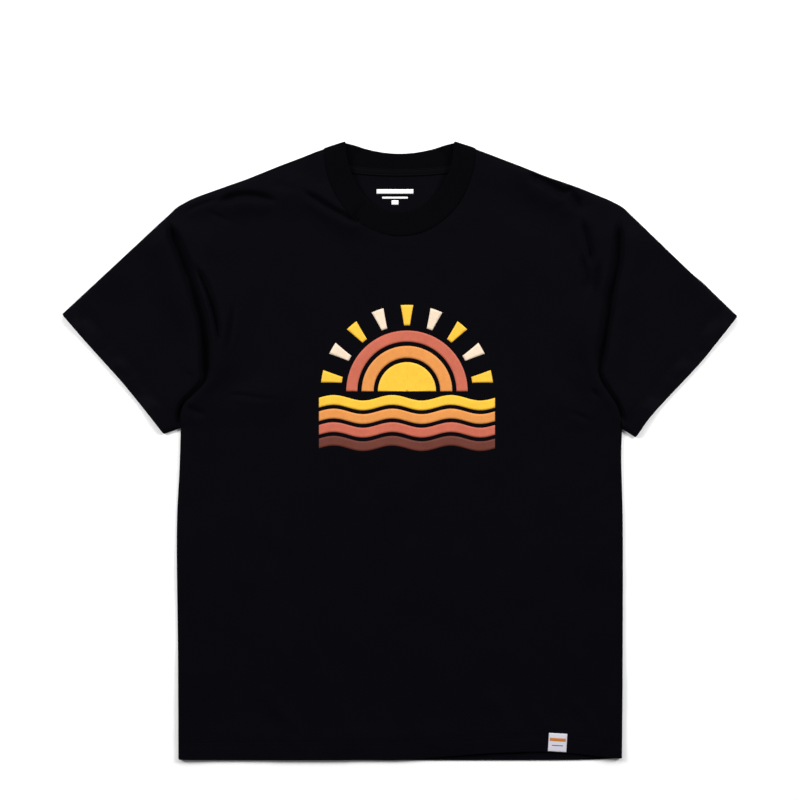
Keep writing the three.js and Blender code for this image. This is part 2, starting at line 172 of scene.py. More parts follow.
# Deep valleys: width, depth, how soon they fade at their two ends, how steep their walls are (2 is a plain
# bell) and the points they run through. The longest two end with the share of their length from which they
# are narrower and shallower, and by how much
valleys = [
    # wearer's right: armhole seam down to the armpit, the folds beside it, shoulder and collar creases
    (11.8, 13.0, (0.09, 0.05), 4, [(-272, 270), (-265, 254), (-254.5, 230.6), (-244, 202), (-236, 176),
     (-230, 155), (-226.5, 127), (-226.5, 98), (-229, 83), (-241, 69), (-254, 56), (-259, 40), (-257, 24)],
     (0.66, 0.46)),
    (7.8, 9.0, (0.25, 0.3), 3, [(-241, 224), (-236, 212), (-226, 192.5), (-216, 162), (-211.5, 138),
     (-210, 118)]),
    (5.0, 3.0, (0.5, 0.35), 2, [(-192, 184), (-193.4, 171), (-197, 146), (-201, 115)]),
    (10.0, 2.6, (0.4, 0.4), 2, [(-226, 244), (-216, 214), (-209, 190)]),
    (8.0, 8.0, (0.22, 0.3), 3, [(-214, 291), (-203, 294.5), (-190, 298), (-176, 299), (-162, 297), (-150, 294),
     (-140, 290)]),
    (3.4, 2.6, (0.25, 0.35), 2, [(-254.5, 277.6), (-233.5, 287.8), (-205, 297)]),
    (4.6, 2.6, (0.4, 0.4), 2, [(-230, 284), (-213, 275), (-193, 266)]),
    (8.0, 2.2, (0.4, 0.4), 2, [(-156, 314), (-130, 309), (-112, 303)]),
    (5.6, 7.5, (0.3, 0.06), 2.4, [(-120, 309), (-98.4, 295.6), (-77.6, 282.6), (-57, 272), (-46, 268)]),
    (4.2, 2.4, (0.3, 0.5), 2, [(-208, 64), (-189, 66), (-160, 62), (-130, 60)]),
    (6.4, 2.8, (0.4, 0.4), 2, [(-254, 56), (-240, 48), (-222, 40)]),
    # wearer's left
    (10.8, 10.5, (0.12, 0.05), 4, [(259, 275), (257.5, 269), (255.4, 257), (253.5, 222), (246.5, 189),
     (242.5, 160), (237, 127), (233.4, 98), (237, 83), (246.5, 68), (257, 51), (263, 31)], (0.64, 0.5)),
    (10.0, 10.0, (0.25, 0.12), 4, [(148, 324.5), (161.8, 318), (173.5, 312), (185.2, 305), (196, 297)]),
    (9.6, 7.5, (0.15, 0.35), 3, [(195, 311), (202, 298), (208.5, 286), (213, 277)]),
    (15.0, 3.4, (0.4, 0.4), 2, [(208, 304), (222, 276)]),
    (6.6, 5.6, (0.3, 0.25), 2, [(212, 276), (214.5, 264), (219, 248), (222.5, 232), (222, 216)]),
    (7.0, 4.6, (0.4, 0.4), 2, [(208, 240), (213, 224), (217.5, 205), (219, 176)]),
    (7.0, 4.8, (0.4, 0.35), 2, [(235, 226), (230, 207), (223, 180)]),
    (18.0, 3.0, (0.4, 0.4), 2, [(222, 242), (223, 205), (219, 160)]),
    (6.4, 2.2, (0.5, 0.5), 2, [(223, 76), (232, 60)]),
    (5.0, 1.8, (0.5, 0.4), 2, [(192, 49), (209, 42), (227, 34)]),
]
# A valley's section, in shares of its width or depth: how wide it still is at its ends, its furrow's half
# width, and where the bulges beside it stand and how high. It narrows over this share of its length
valleyShape = {"endWidth": 0.45, "furrow": 0.56, "bulgeAt": 1.5, "bulgeHeight": 0.16, "narrowsOver": 0.1}
# Broad swells that carry those valleys: half width of the foot, height, points
swells = [
    (56, 10.8, [(-268, 244), (-240, 180), (-226, 120), (-240, 70)]),
    (46, 6.2, [(-222, 246), (-206, 170), (-202, 110)]),
    (36, 6.0, [(-236, 286), (-180, 300), (-130, 300)]),
    (34, 3.2, [(-236, 48), (-150, 64)]),
    (34, 6.0, [(-120, 308), (-60, 270)]),
    (44, 3.0, [(-91, 351), (-88, 326)]),
    (44, 3.0, [(91, 351), (88, 326)]),
    (52, 9.0, [(258, 244), (248, 180), (236, 120), (248, 66)]),
    (44, 5.6, [(216, 262), (220, 200), (210, 130)]),
    (50, 7.0, [(152, 325), (190, 307), (220, 286)]),
    (34, 2.8, [(240, 40), (170, 62)]),
    (30, 1.6, [(110, 322), (60, 262)]),
]
# Soft puckers above the hem: from, to, half width, height
puckers = [
    ((-196, -296), (-178, -338), 13, 1.5), ((-158, -282), (-126, -318), 15, 1.8),
    ((-140, -330), (-118, -346), 10, 1.0), ((-30, -304), (-8, -332), 13, 1.5),
    ((12, -310), (34, -340), 11, 1.0), ((112, -292), (134, -326), 14, 1.6),
    ((152, -304), (176, -322), 12, 1.1), ((206, -296), (238, -334), 12, 1.7),
    ((-236, -318), (-210, -330), 10, 1.1),
]
# Furrows that the sewn seams press into the front
furrows = {
    "neck": {"depth": 0.9, "width": 1.8, "fadesAbove": 275, "fadeLength": 45, "fadesBy": 0.8},
    "shoulder": {"depth": 1.1, "width": 1.1, "inFromEdge": 3.4, "fadesBeyond": 225, "fadeLength": 30},
}
# The cloth's own slow unevenness: length of its waves, their height and how many cross
slackWaves = ((150, 0.42, 5), (70, 0.20, 6), (30, 0.07, 7))


def sideTrack(side):
    return trackThrough([side["hemCorner"], *side["sideBow"], side["armhole"][0]], 30)


def armholeTrack(side):
    return trackThrough([*side["armhole"], side["shoulderPoint"]])


def shoulderTrack(side):
    inner = (math.copysign(shirt["seamHalfWidth"], side["shoulderPoint"][0]), shirt["seamY"])
    return trackThrough([side["shoulderPoint"], *side["shoulder"], inner], 12)


def topFoldTrack(side):
    return trackThrough([side["shoulderPoint"], *side["topFold"], side["sleeveCorner"]], 12)


def cuffTrack(side):
    low, high = np.array(side["cuffCorner"], float), np.array(side["sleeveCorner"], float)
    along = (high - low) / np.hypot(*(high - low))
    outward = math.copysign(1, low[0]) * np.array([along[1], -along[0]])
    bow = trackThrough([(0, 0), *side["cuffBow"], (1, 0)], 14)
    return mix(low, high, bow[:, :1]) + bow[:, 1:] * outward


def neckTrack(halfWidth, y, drop, fullness=0.5):
    # from -x to +x, hanging below y; a fullness of 0.5 is half an ellipse, more is shallower at its ends
    x = halfWidth * np.cos(np.linspace(math.pi, 2 * math.pi, 240))
    dip = np.maximum(1 - (x / halfWidth) ** 2, 0) ** fullness
    return np.stack([x, y - drop * dip], axis=1)


frontSeam = neckTrack(shirt["seamHalfWidth"], shirt["seamY"], shirt["frontSeamDrop"])
backSeam = neckTrack(shirt["seamHalfWidth"], shirt["seamY"], shirt["backSeamDrop"], shirt["backSeamFullness"])
frontFree = neckTrack(shirt["neckHalfWidth"], shirt["neckY"], shirt["frontNeckDrop"])
backFree = neckTrack(shirt["neckHalfWidth"], shirt["backNeckY"], shirt["backNeckDrop"],
                     shirt["backNeckFullness"])
foldEdges = [np.array([s["armhole"][0], s["cuffCorner"]], float) for s in sides.values()]
for edgeTrack in (sideTrack, topFoldTrack, shoulderTrack):
    foldEdges += [edgeTrack(s) for s in sides.values()]


def hemTrack(isFront):
    share = np.linspace(0, 1, 300)
    low, high = np.array(sides["right"]["hemCorner"]), np.array(sides["left"]["hemCorner"])
    track = mix(low, high, share[:, None])
    track[:, 1] += (shirt["bottomY"] - track[:, 1]) * (1 - (2 * share - 1) ** shirt["hemSquareness"])
    if isFront:
        risen = (track[:, 0] - shirt["hemRiseFrom"]) / (shirt["hemRiseTo"] - shirt["hemRiseFrom"])
        track[:, 1] += shirt["hemRise"] * np.sin(math.pi * np.clip(risen, 0, 1) ** shirt["hemRiseSkew"])
        raised = (shirt["hemRaiseFrom"] - track[:, 0]) / shirt["hemRaiseReach"]
        track[:, 1] += shirt["hemRaise"] * smooth(raised)
    return track


frontHem, backHem = hemTrack(True), hemTrack(False)


def patch(bottom, top, left, right, u, v):
    # fills the space between four tracks: u runs along bottom and top, v along left and right
    b, t, l, r = walk(bottom, u), walk(top, u), walk(left, v), walk(right, v)
    u, v = u[:, None], v[:, None]
    corners = ((1 - u) * (1 - v) * bottom[0] + u * (1 - v) * bottom[-1]
               + (1 - u) * v * top[0] + u * v * top[-1])
    return (1 - v) * b + v * t + (1 - u) * l + u * r - corners


def slack(spots):
    # crossing waves of a few lengths and directions, always the same
    dice = np.random.default_rng(11)
    height = np.zeros(len(spots))
    for length, size, count in slackWaves:
        for _ in range(count):
            angle, phase = dice.uniform(0, math.pi), dice.uniform(0, 2 * math.pi)
            stretch = length * dice.uniform(0.75, 1.3)
            way = spots @ np.array([math.cos(angle), math.sin(angle)])
            height += size * np.sin(2 * math.pi * way / stretch + phase)
    return height


def edgeDistance(spots):
    return np.min([nearest(track, spots)[0] for track in foldEdges], axis=0)


def foldedHeight(spots):
    # how far folds lift the upper layer above its flat lie
    lift = np.zeros(len(spots))
    for reach, height, points in swells:
        away, _ = nearest(trackThrough(points, 8), spots)
        lift = np.hypot(lift, height * smooth(1 - away / reach))
    for start, end, reach, height in puckers:
        away, _ = nearest(np.array([start, end], float), spots)
        lift += height * smooth(1 - away / reach)
    fromEdge = edgeDistance(spots) - cloth["edgeRoll"]
    lift = np.hypot(lift, cloth["edgeLoft"] * smooth(1 - fromEdge / cloth["edgeLoftReach"]))
    lift += slack(spots) + cloth["loft"]
    neck, shoulder = furrows["neck"], furrows["shoulder"]
    faded = neck["fadesBy"] * smooth((spots[:, 1] - neck["fadesAbove"]) / neck["fadeLength"])
    lift -= neck["depth"] * (1 - faded) * np.exp(-(nearest(frontSeam, spots)[0] / neck["width"]) ** 2)
    away = np.min([nearest(shoulderTrack(side), spots)[0] for side in sides.values()], axis=0)
    furrow = shoulder["depth"] * np.exp(-((away - shoulder["inFromEdge"]) / shoulder["width"]) ** 2)
    lift -= furrow * smooth((shoulder["fadesBeyond"] - np.abs(spots[:, 0])) / shoulder["fadeLength"])
    for width, depth, fade, walls, points, *narrows in valleys:
        away, share = nearest(trackThrough(points, 8), spots)
        strength = smooth(share / fade[0]) * smooth((1 - share) / fade[1])
        start, factor = narrows[0] if narrows else (1, 1)
        narrow = mix(1, factor, smooth((share - start) / valleyShape["narrowsOver"]))
        width = width * mix(valleyShape["endWidth"], 1, strength) * narrow
        # walls down to a rounded floor, and shoulders that bulge a little on both sides
        crease = np.exp(-(away / (valleyShape["furrow"] * width)) ** walls)
        bulge = np.exp(-((away - valleyShape["bulgeAt"] * width) / width) ** 2)
        lift += strength * narrow * depth * (valleyShape["bulgeHeight"] * bulge - crease)
    soft = 0.5  # lets no part of it sink through the layer below
    return soft * np.logaddexp(0, lift / soft)


def rolled(edge, radius):
    # rounds the last few millimetres before a folded edge, from 0 at the edge to 1
    t = np.clip(edge / radius, 0, 1)
    return np.sqrt(1 - (1 - t) ** 2)


def upperHeight(spots, edge, hemLift, edgeHeight):
    free = cloth["upperMiddle"] + hemLift + foldedHeight(spots)
    return mix(edgeHeight, free, rolled(edge, cloth["edgeRoll"]))


def lowerHeight(edge, edgeHeight):
    return mix(edgeHeight, cloth["lowerMiddle"], rolled(edge, cloth["lowerRoll"] * cloth["edgeRoll"]))


def addToScene(name, data):
    thing = bpy.data.objects.new(name, data)
    bpy.context.scene.collection.objects.link(thing)
    return thing


def meshFrom(bm, name):
    mesh = bpy.data.meshes.new(name)
    bm.to_mesh(mesh)
    bm.free()
    return mesh


def reworkMesh(mesh, work):
    bm = bmesh.new()
    bm.from_mesh(mesh)
    work(bm)
    bm.to_mesh(mesh)
    bm.free()


def shadeSmooth(mesh):
    mesh.polygons.foreach_set("use_smooth", [True] * len(mesh.polygons))


def gridMesh(name, rows, columns, place, wraps=False):
    # a grid of rows by columns, its points moved by place(row, column), which also gives where each was cut
    bm = bmesh.new()
    bmesh.ops.create_grid(bm, x_segments=columns - 1, y_segments=rows - 1, size=1)
    mesh = meshFrom(bm, name)
    flat = np.empty(len(mesh.vertices) * 3)
    mesh.vertices.foreach_get("co", flat)
    flat = flat.reshape(-1, 3)
    column = np.rint((flat[:, 0] + 1) / 2 * (columns - 1)).astype(int)
    row = np.rint((flat[:, 1] + 1) / 2 * (rows - 1)).astype(int)
    spots, cut = place(row, column)
    mesh.vertices.foreach_set("co", (spots * mm).astype(np.float32).ravel())
    layer = mesh.uv_layers.new(name="Cut")
    corners = np.empty(len(mesh.loops), dtype=np.int32)
    mesh.loops.foreach_get("vertex_index", corners)
    layer.data.foreach_set("uv", (cut[corners] * mm).astype(np.float32).ravel())
    if wraps:   # the grid closes on itself
        reworkMesh(mesh, lambda bm: bmesh.ops.remove_doubles(bm, verts=bm.verts, dist=0.00002))
    mesh.update()
    shadeSmooth(mesh)
    return addToScene(name, mesh)


def thicken(piece, thickness, offset=0.0):
    solid = piece.modifiers.new("Thickness", "SOLIDIFY")
    solid.thickness = thickness * mm
    solid.offset = offset
    solid.use_even_offset = False


def finishPiece(piece, material, slot, *nodes):
    piece.data.materials.clear()
    piece.data.materials.append(material)
    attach(piece, "root")
    if nodes:
        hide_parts(*nodes)
    return piece


def hemRows(depth, gap, stitchAt):
    # rows of a turned-in hem: distance from its edge, and how far in from the outer layer
    turn = gap / 2
    under = [(d, gap) for d in (depth, depth - 1.2, *stitchAt[::-1], 9.0, 6.0, 3.5, 1.8)]
    bend = [(turn * (1 - math.sin(a)), turn * (1 + math.cos(a))) for a in np.linspace(0, math.pi, 7)]
    over = [1.4, 3.0, 5.5, 8.5, 11.5]
    for d in stitchAt:
        over += [d - 1.1, d, d + 1.1]
    return under + bend + [(d, 0.0) for d in (*over, depth + 1.0, depth + 3.5)]


def evenSteps(start, end, spacing):
    count = max(2, int(round((end - start) / spacing)))
    return np.linspace(start, end, count + 1)[1:]


def stepsOver(start, *stretches):
    # steps over one stretch after another, each given by its end and its spacing
    steps = []
    for end, spacing in stretches:
        steps.append(evenSteps(start, end, spacing))
        start = end
    return np.concatenate(steps)


def edgeSteps(radius):
    # steps that crowd towards a rounded edge
    return radius * (1 - np.cos(np.linspace(0, math.radians(78), 6)))


def stitchDip(away, lines, depth=0.28, width=1.0):
    return -depth * sum(np.exp(-((away - line) / width) ** 2) for line in lines)


hemStitches = (14.6, 18.6)      # twin needle, 4 mm gauge
cuffStitches = (16.4, 20.4)
bodyWidth = cloth["bodyWidth"]


def bodyPlan(hem):
    # plan points of a body panel, from its share across and its distance from the hem along the cloth
    # its top runs straight between the ends of the neck seam, and the neck is cut out afterwards
    side = {k: np.vstack([sideTrack(s)[:-1], armholeTrack(s)]) for k, s in sides.items()}
    length = (trackLength(side["left"]) + trackLength(side["right"])) / 2
    top = np.vstack([shoulderTrack(sides["right"]), shoulderTrack(sides["left"])[::-1]])

    def planAt(u, fromHem):
        return patch(hem, top, side["right"], side["left"], u, fromHem / length)

    return planAt, length


frontPlan, bodyLength = bodyPlan(frontHem)
backPlan, _ = bodyPlan(backHem)


def cutNeck(piece, halfWidth, drop, fullness):
    # takes the cloth out of the neck opening and trims the cut to the seam's curve
    edge = neckTrack(halfWidth, shirt["seamY"], drop, fullness)

    def cut(bm):
        spots = np.array([v.co[:2] for v in bm.verts]) / mm
        height = np.interp(spots[:, 0], edge[:, 0], edge[:, 1])
        within = (np.abs(spots[:, 0]) < halfWidth) & (spots[:, 1] > height)
        inner = [(v, spots[v.index]) for v in bm.verts if within[v.index]]
        gone = [f for f in bm.faces if all(within[v.index] for v in f.verts)]
        bmesh.ops.delete(bm, geom=gone, context="FACES")
        for vert, spot in inner:
            if vert.is_valid:
                vert.co[:2] = edge[int(np.argmin(np.hypot(*(edge - spot).T)))] * mm

    reworkMesh(piece.data, cut)
    return piece


def bodyPanel(name, planAt, hem, neckDrop, neckFullness, upper):
    near = edgeSteps(cloth["edgeRoll"])
    coarse = cloth["coarseCell"]
    fine = cloth["fineCell"] if upper else coarse
    across = stepsOver(near[-1], (cloth["creasedRight"], fine), (bodyWidth - cloth["creasedLeft"], coarse),
                       (bodyWidth - near[-1], fine))
    u = np.concatenate([near, across, (bodyWidth - near[:-1])[::-1]]) / bodyWidth
    rows = hemRows(cloth["hemDepth"], cloth["turnGap"], hemStitches)
    up = stepsOver(rows[-1][0], (cloth["creasedFrom"], coarse), (bodyLength - near[-1], fine))
    rows += [(d, 0.0) for d in [*up, *(bodyLength - near[:-1])[::-1]]]
    away, inward = (np.array(c) for c in zip(*rows))
    upperEdge, lowerEdge = cloth["hemEdges"]

    def place(row, column):
        d, under = away[row], inward[row]
        tucked = cloth["hemTuck"] / bodyWidth * under / cloth["turnGap"]
        spots = planAt(mix(tucked, 1 - tucked, u[column]), d)
        fromHem, _ = nearest(hem, spots)
        edge = edgeDistance(spots)
        hemmed = 1 - smooth((fromHem - cloth["hemDepth"]) / cloth["hemEase"])
        # the two panels meet along their rolled edges, and stand apart where the hem's layers lie between them
        if upper:
            edgeHeight = mix(cloth["seamHeight"], upperEdge, hemmed)
            z = upperHeight(spots, edge, cloth["turnLift"] * hemmed, edgeHeight) - under
            z += np.where(under > 0, 0, 1) * stitchDip(d, hemStitches)
        else:
            z = lowerHeight(edge, mix(cloth["seamHeight"], lowerEdge, hemmed)) + under
        cut = np.stack([spots[:, 0], spots[:, 1] - np.where(under > 0, 2 * d, 0)], axis=1)
        return np.column_stack([spots, z]), cut

    underBand = 0.8     # how far the panel's edge goes under the band
    panel = gridMesh(name, len(rows), len(u), place)
    return cutNeck(panel, shirt["seamHalfWidth"] - underBand, neckDrop - underBand, neckFullness)


def sleevePlan(side):
    # plan points of a sleeve, from its share from underarm to top fold and its distance from the cuff's edge
    armhole, cuff, fold = armholeTrack(side), cuffTrack(side), topFoldTrack(side)
    under = np.array([armhole[0], cuff[0]])

    def planAt(share, fromCuff):
        tube = np.hypot(*(walk(cuff, share) - walk(armhole, share)).T)
        return patch(under, fold, armhole, cuff, 1 - fromCuff / tube, share), tube

    return planAt, trackLength(armhole), trackLength(fold)


def sleevePiece(name, side):
    planAt, width, longest = sleevePlan(side)
    rows = hemRows(cloth["cuffDepth"], cloth["turnGap"], cuffStitches)
    hemCount = len(rows)
    rows += [(d, 0.0) for d in evenSteps(rows[-1][0], longest, cloth["fineCell"])]
    away, inward = (np.array(c) for c in zip(*rows))
    near = edgeSteps(cloth["edgeRoll"])
    between = evenSteps(near[-1], width - near[-1], cloth["fineCell"])
    t = np.concatenate([near, between, (width - near[:-1])[::-1]]) / width
    loopShare = np.concatenate([t, t[-2:0:-1], t[:1]])       # up the front layer, back down the other
    loopLayer = np.concatenate([np.ones(len(t)), -np.ones(len(t) - 2), np.ones(1)])
    hemEnd = away[hemCount - 1]

    def place(row, column):
        share, layer, under = loopShare[row], loopLayer[row], inward[column]
        tucked = cloth["cuffTuck"] * under / width
        inset = mix(tucked, 1 - tucked, share)
        tube = planAt(inset, 0 * share)[1]
        # close to the underarm the sleeve is shorter than its hem is deep, so the rows squeeze up there
        startOfPlain = np.minimum(hemEnd, 0.8 * tube)
        hemmedPart = away[column] / hemEnd * startOfPlain
        plainPart = mix(startOfPlain, tube, (away[column] - hemEnd) / (longest - hemEnd))
        d = np.where(column < hemCount, hemmedPart, plainPart)
        spots, _ = planAt(inset, d)
        edge = np.maximum(edgeDistance(spots) - cloth["cuffTuck"] * under, 0)
        hemmed = 1 - smooth((d - startOfPlain) / cloth["cuffEase"])
        inside = under * rolled(edge, cloth["turnRoll"])
        up = upperHeight(spots, edge, cloth["turnLift"] * hemmed, cloth["seamHeight"]) - inside
        down = lowerHeight(edge, cloth["seamHeight"]) + inside
        up += np.where(under > 0, 0, 1) * stitchDip(away[column], cuffStitches)
        z = np.where(layer > 0, up, down)
        cut = np.stack([share * width * layer, np.where(under > 0, -d, d)], axis=1)
        return np.column_stack([spots, z]), cut

    return gridMesh(name, len(loopShare), len(away), place, wraps=True)


def surfaceOf(piece):
    return BVHTree.FromObject(piece, bpy.context.evaluated_depsgraph_get())


def dropOnto(surface, spots, above=True):
    # the points of a surface straight over or under plan points, with its normals there
    start, way = (0.08, Vector((0, 0, -1))) if above else (-0.02, Vector((0, 0, 1)))
    points, normals = [], []
    last = Vector((0, 0, 0.002)), Vector((0, 0, 1 if above else -1))
    for x, y in np.asarray(spots) * mm:
        point, normal, _, _ = surface.ray_cast(Vector((x, y, start)), way)
        if point is None:   # just past the edge: the last height again
            point, normal = Vector((x, y, last[0].z)), last[1]
        last = (point, normal)
        points.append(point)
        normals.append(normal)
    return points, normals


print("tools ready")


def linear(code):
    # an sRGB hex colour as linear RGBA
    parts = [int(code[i:i + 2], 16) / 255 for i in (1, 3, 5)]
    return tuple(c / 12.92 if c <= 0.04045 else ((c + 0.055) / 1.055) ** 2.4 for c in parts) + (1.0,)


def newMaterial(name):
    material = bpy.data.materials.new(name)
    material.use_nodes = True
    material.node_tree.nodes.clear()
    return material, material.node_tree


def addNode(tree, kind, inputs=None, **settings):
    # one shader node, with its settings, and its inputs set or linked
    node = tree.nodes.new("ShaderNode" + kind)
    for key, value in settings.items():
        setattr(node, key, value)
    for key, value in (inputs or {}).items():
        if isinstance(value, bpy.types.NodeSocket):
            tree.links.new(value, node.inputs[key])
        else:
            node.inputs[key].default_value = value
    return node


def finishMaterial(tree, shaderInputs):
    shader = addNode(tree, "BsdfPrincipled", shaderInputs)
    addNode(tree, "OutputMaterial", {"Surface": shader.outputs[0]})


def waveScale(pitch):
    # the Wave texture's scale for bands this many millimetres apart
    return 2 * math.pi / (20 * pitch * mm)


def knit(name, dark, light, walePitch, coursePitch, bumpHeight, paintedSheenDepth=None):
    # cotton knit, piece-dyed: lengthwise wales crossed by courses, with fine fibre fuzz over them
    # the real stitches are 0.7 mm wide, too fine to show, so they are drawn about three times as coarse
    # last argument: the depth of a hem, in millimetres, along which patches of painted sheen make the colour a
    # little paler
    material, tree = newMaterial(name)
    cut = addNode(tree, "UVMap", uv_map="Cut").outputs[0]
    wales = addNode(tree, "TexWave", {
        "Vector": cut, "Scale": waveScale(walePitch), "Distortion": 0.6, "Detail": 1.0, "Detail Scale": 2.0,
    }, bands_direction="X", wave_profile="SIN")
    courses = addNode(tree, "TexWave", {
        "Vector": cut, "Scale": waveScale(coursePitch), "Distortion": 0.9, "Detail": 1.0, "Detail Scale": 2.0,
    }, bands_direction="Y", wave_profile="SIN")
    loops = addNode(tree, "Math", {0: wales.outputs["Fac"], 1: courses.outputs["Fac"]}, operation="MULTIPLY")
    fuzz = addNode(tree, "TexNoise", {
        "Vector": cut, "Scale": 1 / (1.6 * mm), "Detail": 4.0, "Roughness": 0.7})
    dye = addNode(tree, "TexNoise", {
        "Vector": cut, "Scale": 1 / (55 * mm), "Detail": 3.0, "Roughness": 0.55})
    relief = addNode(tree, "Math", {
        0: fuzz.outputs["Fac"], 1: 0.8, 2: loops.outputs[0]}, operation="MULTIPLY_ADD")
    tone = addNode(tree, "Math", {
        0: dye.outputs["Fac"], 1: 0.6, 2: loops.outputs[0]}, operation="MULTIPLY_ADD")
    spread = addNode(tree, "MapRange", {"Value": tone.outputs[0], "From Min": 0.15, "From Max": 1.1})
    colour = addNode(tree, "Mix", {
        "Factor": spread.outputs[0], "A": linear(dark), "B": linear(light)}, data_type="RGBA")
    # painted sheen: patches along the hem band get a paler colour that stands for light glancing off the cloth
    # there
    if paintedSheenDepth:
        fromEdge = addNode(tree, "SeparateXYZ", {"Vector": cut}).outputs["Y"]
        hem = addNode(tree, "MapRange", {
            "Value": fromEdge, "From Min": (paintedSheenDepth + 3) * mm, "From Max": (paintedSheenDepth - 7) * mm,
        }, interpolation_type="SMOOTHSTEP")
        patches = addNode(tree, "TexNoise", {"Vector": cut, "Scale": 1 / (42 * mm), "Detail": 2.0})
        wearAndSheen = addNode(tree, "MapRange", {"Value": patches.outputs["Fac"], "From Min": 0.45, "From Max": 0.68})
        share = addNode(tree, "Math", {0: hem.outputs[0], 1: wearAndSheen.outputs[0]}, operation="MULTIPLY")
        colour = addNode(tree, "Mix", {
            "Factor": share.outputs[0], "A": colour.outputs["Result"], "B": linear("#0c0b10"),
        }, data_type="RGBA")
    bump = addNode(tree, "Bump", {
        "Height": relief.outputs[0], "Strength": 0.5, "Distance": bumpHeight * mm})
    finishMaterial(tree, {
        "Base Color": colour.outputs["Result"],
        "Roughness": 0.9,
        "Specular IOR Level": 0.02,
        "Sheen Weight": 0.004,
        "Sheen Roughness": 0.5,
        "Sheen Tint": linear("#c8ccdc"),
        "Normal": bump.outputs[0],
    })
    return material


def screenInk(name, code):
    # plastisol screen-print ink, cured on the cloth: a flat satin film that lets the knit's grain through
    material, tree = newMaterial(name)
    spot = addNode(tree, "TexCoord").outputs["Object"]
    wales = addNode(tree, "TexWave", {
        "Vector": spot, "Scale": waveScale(2.2), "Distortion": 1.0, "Detail": 1.0,
    }, bands_direction="X", wave_profile="SIN")
    grain = addNode(tree, "TexNoise", {"Vector": spot, "Scale": 1 / (1.8 * mm), "Detail": 4.0})
    relief = addNode(tree, "Math", {
        0: grain.outputs["Fac"], 1: 1.4, 2: wales.outputs["Fac"]}, operation="MULTIPLY_ADD")
    patchy = addNode(tree, "TexNoise", {
        "Vector": spot, "Scale": 1 / (7 * mm), "Detail": 5.0, "Roughness": 0.7})
    thin = addNode(tree, "MapRange", {"Value": patchy.outputs["Fac"], "From Min": 0.3, "From Max": 0.7})
    base = linear(code)
    wearAndSheen = tuple(c * 0.86 for c in base[:3]) + (1.0,)
    colour = addNode(tree, "Mix", {"Factor": thin.outputs[0], "A": wearAndSheen, "B": base}, data_type="RGBA")
    bump = addNode(tree, "Bump", {"Height": relief.outputs[0], "Strength": 0.25, "Distance": 0.2 * mm})
    finishMaterial(tree, {"Base Color": colour.outputs["Result"], "Roughness": 0.55,
                          "Specular IOR Level": 0.25, "Normal": bump.outputs[0]})
    return material


def thread(name, code):
    # spun polyester sewing thread, two ply: a fine twist along each stitch
    material, tree = newMaterial(name)
    spot = addNode(tree, "TexCoord").outputs["Object"]
    twist = addNode(tree, "TexWave", {"Vector": spot, "Scale": waveScale(0.5)}, bands_direction="DIAGONAL")
    bump = addNode(tree, "Bump", {"Height": twist.outputs["Fac"], "Strength": 0.4, "Distance": 0.1 * mm})
    finishMaterial(tree, {"Base Color": linear(code), "Roughness": 0.75, "Specular IOR Level": 0.06,
                          "Normal": bump.outputs[0]})
    return material


def wovenTape(name, dark, light, pitch, specular):
    # narrow woven goods: fine weft lines across the warp
    material, tree = newMaterial(name)
    spot = addNode(tree, "TexCoord").outputs["Object"]
    weft = addNode(tree, "TexWave", {"Vector": spot, "Scale": waveScale(pitch)}, bands_direction="Y")
    warp = addNode(tree, "TexWave", {"Vector": spot, "Scale": waveScale(pitch * 1.3)}, bands_direction="X")
    weave = addNode(tree, "Math", {0: weft.outputs["Fac"], 1: warp.outputs["Fac"]}, operation="MULTIPLY")
    colour = addNode(tree, "Mix", {
        "Factor": weave.outputs[0], "A": linear(dark), "B": linear(light)}, data_type="RGBA")
    bump = addNode(tree, "Bump", {"Height": weave.outputs[0], "Strength": 0.4, "Distance": 0.15 * mm})
    finishMaterial(tree, {"Base Color": colour.outputs["Result"], "Roughness": 0.6,
                          "Specular IOR Level": specular, "Normal": bump.outputs[0]})
    return material


jersey = {"dark": "#050408", "light": "#09090d", "walePitch": 2.2, "coursePitch": 2.6, "bumpHeight": 0.25}
blackJersey = knit("blackCottonJerseyKnitted", **jersey)
# the sleeves' jersey, with painted sheen in patches along the cuff hems
paintedSheenJersey = knit("blackCottonJerseyPaintedSheen", **jersey, paintedSheenDepth=cloth["cuffDepth"])
blackRib = knit("blackCottonRibKnitted", "#030305", "#060608", 1.1, 1.4, 0.12)
blackThread = thread("blackPolyesterThreadSpun", "#08080c")
# thread for the neck tape's stitches, paler than the black thread: a painted glint along the stitch rows
paintedGlintThread = thread("darkPolyesterThreadPaintedGlint", "#121217")
blackTape = wovenTape("blackCottonTwillTapeWoven", "#040405", "#070709", 1.2, 0.02)
labelWeave = wovenTape("paleSatinLabelWoven", "#c3bfcc", "#d8d4de", 0.8, 0.3)
labelOrange = wovenTape("orangeLabelYarnWoven", "#b06a1c", "#cc8432", 0.8, 0.3)
labelGrey = wovenTape("greyLabelYarnWoven", "#4a4852", "#5d5b66", 0.8, 0.3)
inkColours = {"yellow": "#efbb37", "orange": "#da8d47", "salmon": "#bd614b", "brown": "#633025",
              "cream": "#e5d0b8", "white": "#fbfbfb"}
inks = {ink: screenInk(ink + "PlastisolInkPrinted", code) for ink, code in inkColours.items()}
print("materials ready")

backPanel = bodyPanel("shirt_back", backPlan, backHem, shirt["backSeamDrop"], shirt["backSeamFullness"],
                      upper=False)
frontPanel = bodyPanel("shirt_front", frontPlan, frontHem, shirt["frontSeamDrop"], 0.5, upper=True)
leftSleeve = sleevePiece("sleeve_left", sides["left"])
rightSleeve = sleevePiece("sleeve_right", sides["right"])
for piece, material, node in ((backPanel, blackJersey, "back_panel"), (frontPanel, blackJersey, "front_panel"),
                              (leftSleeve, paintedSheenJersey, "left_sleeve"),
                              (rightSleeve, paintedSheenJersey, "right_sleeve")):
    thicken(piece, cloth["thickness"])
    finishPiece(piece, material, "jersey", node)
print("panels and sleeves laid out")

